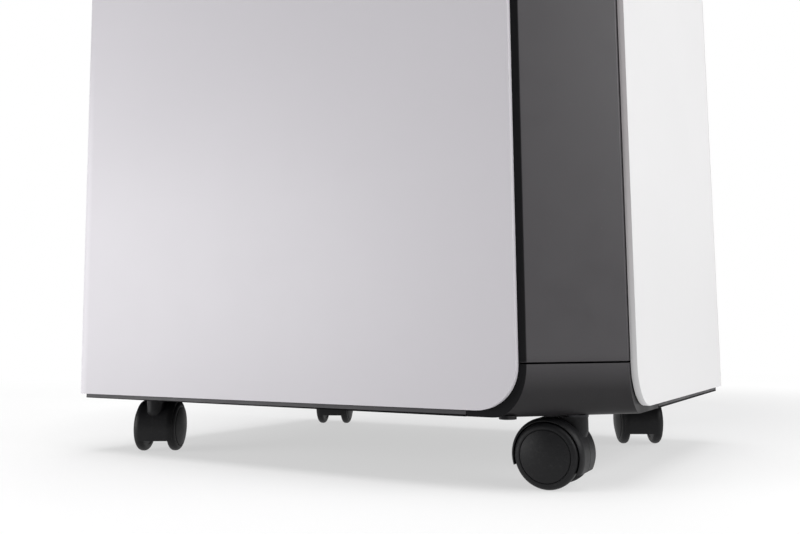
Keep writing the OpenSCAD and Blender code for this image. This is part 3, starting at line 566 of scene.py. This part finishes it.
def wheel_profile():
    """Half section of a wheel in metres: hub, rounded tread, a fine step round the disc and its domed cap."""
    radius, bore, hub_face = 17.5, 2.0, 13.0
    inner_face, rim_face, tip = 8.6, 15.0, 17.45
    recess, recess_in, recess_out = 0.5, 4.6, 13.2
    inner_round, outer_round, tread_end = 2.6, 3.0, 12.0
    cap, cap_low, groove = 13.6, 15.35, 14.55
    groove_low, groove_high = cap + 0.35, cap + 0.45
    inner_turn = radius - inner_round, inner_face + inner_round
    outer_turn = radius - outer_round, rim_face - outer_round
    points = [(0, hub_face), (bore, hub_face), (bore, inner_face), (recess_in, inner_face),
              (recess_in, inner_face + recess), (recess_out, inner_face + recess), (recess_out, inner_face),
              (inner_turn[0], inner_face)]
    points += [(inner_turn[0] + x, inner_turn[1] + y) for x, y in arc(inner_round, -75, -15, 5)]
    points += [(radius, inner_turn[1]), (radius, tread_end)]
    points += [(outer_turn[0] + x, outer_turn[1] + y) for x, y in arc(outer_round, 12, 78, 6)]
    points += [(outer_turn[0], rim_face), (groove_high, rim_face), (groove_low, groove), (cap, groove),
               (cap, cap_low)]
    dome = (cap ** 2 + (tip - cap_low) ** 2) / (2 * (tip - cap_low))
    steps = 10
    for k in range(steps - 1, -1, -1):
        r = cap * k / steps
        points.append((r, tip - dome + math.sqrt(dome ** 2 - r ** 2)))
    return [(r * MM, h * MM) for r, h in points]


def wheel_pair(name, place):
    """Both wheels of a caster, back to back."""
    profile = wheel_profile()
    bm = bmesh.new()
    lathe(bm, profile, place)
    lathe(bm, profile, place @ Matrix.Rotation(math.pi, 4, "X"))
    wheels = new_object("wheels_" + name + "_skin", bm)
    add_bevel(wheels, WHEEL_ROUND, 2, 32)
    attach(wheels, "wheels_" + name)


def hood_line(name, place):
    """The fine raised line where the hood's mould parts."""
    outer, inner, half = LINE_OUTER * MM, LINE_INNER * MM, LINE_HALF * MM
    section = ((inner, -half), (outer, -half * 0.5), (outer, half * 0.5), (inner, half))
    bm = bmesh.new()
    rings = [[bm.verts.new(place @ Vector((x * r, y * r, z))) for r, z in section]
             for x, y in arc(1, TRAILING, LEADING, 60)]
    for a, b in zip(rings, rings[1:]):
        for k in range(4):
            m = (k + 1) % 4
            bm.faces.new((a[k], b[k], b[m], a[m]))
    bm.faces.new(rings[0])
    bm.faces.new(rings[-1])
    line = new_object("hood_line_" + name, bm)
    add_piece(line, NODES["hood_" + name]["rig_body"], slot_of("hood_" + name))


def casters():
    for name in ("fl", "fr", "bl", "br"):
        place = caster_place(name)
        wheel_pair(name, place)
        dressed("hood_" + name, HOOD_ROUND)
        hood_line(name, place)


casters()


# ---------------------------------------------------------------- controls
THIN_STROKE, BLADE_WIDTH = 0.55, 1.25
MARK_LOW, MARK_HIGH = 0.35, 0.02            # how far below a button's rim its mark starts and ends
CAP_RADIUS, CAP_ROUND, CAP_DEPTH = 6.98, 0.55, 7.0
STEM_TOP, STEM_RADIUS = 6.5, 2
DISPLAY = (70, 118, -104, -76)              # left, right, front and back of the display
DISPLAY_LINE = 0.35


def stroke(points, width):
    """Outline of a line of even width through points, for the printed marks."""
    left, right = [], []
    for k, (x, y) in enumerate(points):
        ax, ay = points[max(k - 1, 0)]
        bx, by = points[min(k + 1, len(points) - 1)]
        length = math.hypot(bx - ax, by - ay)
        nx, ny = (ay - by) / length * width / 2, (bx - ax) / length * width / 2
        left.append((x + nx, y + ny))
        right.append((x - nx, y - ny))
    return left + right[::-1]


def drop(size):
    """Outline of a water drop."""
    return [(size * 0.62 * math.sin(t) * math.sin(t / 2), -size * math.cos(t) * 0.95)
            for t in (2 * math.pi * k / 28 for k in range(28))]


def blade(turn):
    """One curved blade of the fan mark, at an angle in degrees."""
    a = math.radians(turn)
    return stroke([(r * math.cos(a + bend), r * math.sin(a + bend))
                   for r, bend in ((0.4, 0), (1.5, 0.45), (2.9, 0.5))], BLADE_WIDTH)


def button_shapes():
    """Outlines of the generic marks: on/off ring, drop, fan blades, clock and rising bars."""
    thin = THIN_STROKE
    return {
        "power": [stroke(arc(2.5, 125, 415, 30), thin), stroke([(0, 0.7), (0, 3.3)], thin)],
        "mode": [[(x, y + 0.2) for x, y in drop(2.9)]],
        "fan": [blade(turn) for turn in (90, 210, 330)],
        "timer": [stroke(arc(2.8, 0, 359.5, 36), thin), stroke([(0, -0.2), (0, 1.9)], thin),
                  stroke([(-0.2, 0), (1.5, 0)], thin)],
        "target": [[(x, -2.4), (x + 1.0, -2.4), (x + 1.0, top), (x, top)]
                   for x, top in ((-2.4, -0.8), (-0.5, 0.8), (1.4, 2.4))],
    }


def button_cap(node, centre, low, high):
    """A button with a rounded rim, a dished top and its stem."""
    bm = bmesh.new()
    rim, flat = CAP_RADIUS - CAP_ROUND, 5.7
    profile = [(CAP_RADIUS, -CAP_DEPTH), (CAP_RADIUS, -CAP_ROUND)]
    profile += [(rim + x, -CAP_ROUND + y) for x, y in arc(CAP_ROUND, 10, 80, 4)]
    profile += [(rim, 0), (flat, 0), (5.0, -0.18), (2.5, -0.28), (0, -0.3), (0, -CAP_DEPTH)]
    lathe(bm, [(r * MM, h * MM) for r, h in profile], Matrix.Translation((*centre, high)), 64)
    rod(bm, (*centre, high - STEM_TOP * MM), (*centre, low), STEM_RADIUS * MM, 24)
    attach(new_object(node + "_skin", bm), node)


def buttons():
    for name, shapes in button_shapes().items():
        node = "button_" + name
        low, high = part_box(node)
        centre = ((low[0] + high[0]) / 2, (low[1] + high[1]) / 2)
        bm = bmesh.new()
        for points in shapes:
            prism(bm, [(centre[0] + x * MM, centre[1] + y * MM) for x, y in points],
                  high[2] - MARK_LOW * MM, high[2] - MARK_HIGH * MM)
        mark = new_object("mark_" + name, bm, smooth=False)
        add_piece(mark, NODES[node]["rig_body"], "gloss_black")
        button_cap(node, centre, low[2], high[2])


def display():
    """A fine line in the panel that frames the display under it."""
    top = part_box("control_lens")[1][2]
    x0, x1, y0, y1 = (value * MM for value in DISPLAY)
    line = DISPLAY_LINE * MM
    bm = bmesh.new()
    for ax, ay, bx, by in ((x0, y0, x1, y0 + line), (x0, y1 - line, x1, y1),
                           (x0, y0 + line, x0 + line, y1 - line), (x1 - line, y0 + line, x1, y1 - line)):
        prism(bm, [(ax, ay), (bx, ay), (bx, by), (ax, by)], top - 0.3 * MM, top + 0.02 * MM)
    add_piece(new_object("display_frame", bm, smooth=False), "cabinet", "button_grey")


buttons()
display()


# ---------------------------------------------------------------- air filter and the plainer pieces
NET_PITCH, NET_STRAND = 1.9, 0.22


def filter_net():
    """The filter's woven net, strand by strand."""
    low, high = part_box("filter_mesh")
    pitch, thick = NET_PITCH * MM, NET_STRAND * MM
    middle = (low[1] + high[1]) / 2
    bm = bmesh.new()
    across = int((high[0] - low[0]) / pitch)
    for k in range(across + 1):
        x = low[0] + (high[0] - low[0]) * k / across
        rod(bm, (x, middle - thick * 0.6, low[2]), (x, middle - thick * 0.6, high[2]), thick, 4)
    up = int((high[2] - low[2]) / pitch)
    for k in range(up + 1):
        z = low[2] + (high[2] - low[2]) * k / up
        rod(bm, (low[0], middle + thick * 0.6, z), (high[0], middle + thick * 0.6, z), thick, 4)
    attach(new_object("filter_net_skin", bm), "filter_mesh")


filter_net()

def paint_rest():
    """Gives every CAD node that still shows its slot's material; the caster stems are blackened steel."""
    dark_steel = metal("dark_steel", (0.045, 0.045, 0.048), 0.42)
    for name, obj in NODES.items():
        if not obj.hide_render:
            material = dark_steel if name.startswith("stem_") else MATERIALS[slot_of(name)]
            obj.data.materials.clear()
            obj.data.materials.append(material)


paint_rest()


# ---------------------------------------------------------------- floor, light and camera
def floor():
    """A white sweep: it shades softly near the object and fades into the backdrop further out."""
    mesh = bpy.data.meshes.new("floor")
    bm = bmesh.new()
    bmesh.ops.create_circle(bm, cap_ends=True, segments=96, radius=FLOOR_RADIUS)
    bm.to_mesh(mesh)
    bm.free()
    obj = bpy.data.objects.new("floor", mesh)
    bpy.context.scene.collection.objects.link(obj)
    n = Nodes("floor_white")
    paper = n.add("ShaderNodeBsdfDiffuse")
    white = n.ramp(n.noise(3), [(0.3, (0.93, 0.93, 0.93)), (0.7, (0.95, 0.95, 0.95))])
    reach = n.add("ShaderNodeVectorMath", operation="DISTANCE")
    n.link(n.coords, reach.inputs[0])
    reach.inputs[1].default_value = SHADE_CENTRE
    soft = n.spread(reach.outputs["Value"], 1, 0, SHADE_NEAR, SHADE_FAR)
    n.link(n.mix(soft, white, (0.53, 0.53, 0.535)), paper.inputs["Color"])
    glow = n.add("ShaderNodeEmission")
    glow.inputs["Color"].default_value = (1, 1, 1, 1)
    glow.inputs["Strength"].default_value = 1.0
    distance = n.add("ShaderNodeVectorMath", operation="LENGTH")
    n.link(n.coords, distance.inputs[0])
    share = n.spread(distance.outputs["Value"], FLOOR_GLOW, 1.0, FLOOR_FADE, FLOOR_RADIUS - 0.1)
    blend = n.add("ShaderNodeMixShader")
    n.link(share, blend.inputs["Fac"])
    n.link(paper.outputs["BSDF"], blend.inputs[1])
    n.link(glow.outputs["Emission"], blend.inputs[2])
    n.link(blend.outputs["Shader"], n.out.inputs["Surface"])
    mesh.materials.append(n.mat)


def area(name, place, target, size, power):
    light = bpy.data.lights.new(name, "AREA")
    light.shape = "RECTANGLE"
    light.size, light.size_y = size
    light.energy = power
    obj = bpy.data.objects.new(name, light)
    obj.location = place
    obj.rotation_mode = "QUATERNION"
    obj.rotation_quaternion = (Vector(target) - Vector(place)).to_track_quat("-Z", "Y")
    bpy.context.scene.collection.objects.link(obj)
    return obj


def camera():
    """A short lens held low at the front-right corner."""
    azimuth, pitch, roll = (math.radians(angle) for angle in (CAMERA_AZIMUTH, CAMERA_PITCH, CAMERA_ROLL))
    data = bpy.data.cameras.new("camera")
    data.lens = LENS
    data.sensor_width = SENSOR
    data.clip_start = 0.01
    data.clip_end = 60
    obj = bpy.data.objects.new("camera", data)
    obj.location = CAMERA_PLACE
    level = Matrix.Rotation(azimuth, 4, "Z") @ Matrix.Rotation(math.pi / 2 + pitch, 4, "X")
    obj.rotation_mode = "QUATERNION"
    obj.rotation_quaternion = (level @ Matrix.Rotation(roll, 4, "Z")).to_quaternion()
    bpy.context.scene.collection.objects.link(obj)
    bpy.context.scene.camera = obj


def studio():
    """White room: the backdrop itself is plain white, and what it lights with is set apart from that."""
    world = bpy.data.worlds.new("studio")
    world.use_nodes = True
    tree = world.node_tree
    room = tree.nodes["Background"]
    room.inputs["Color"].default_value = (1, 1, 1, 1)
    room.inputs["Strength"].default_value = ROOM_LIGHT
    backdrop = tree.nodes.new("ShaderNodeBackground")
    backdrop.inputs["Color"].default_value = (1, 1, 1, 1)
    backdrop.inputs["Strength"].default_value = 1.0
    path = tree.nodes.new("ShaderNodeLightPath")
    blend = tree.nodes.new("ShaderNodeMixShader")
    tree.links.new(path.outputs["Is Camera Ray"], blend.inputs["Fac"])
    tree.links.new(room.outputs["Background"], blend.inputs[1])
    tree.links.new(backdrop.outputs["Background"], blend.inputs[2])
    tree.links.new(blend.outputs["Shader"], tree.nodes["World Output"].inputs["Surface"])
    bpy.context.scene.world = world


floor()
camera()
studio()
for light in LIGHTS:
    area(*light)
bpy.context.scene.view_settings.view_transform = "Standard"
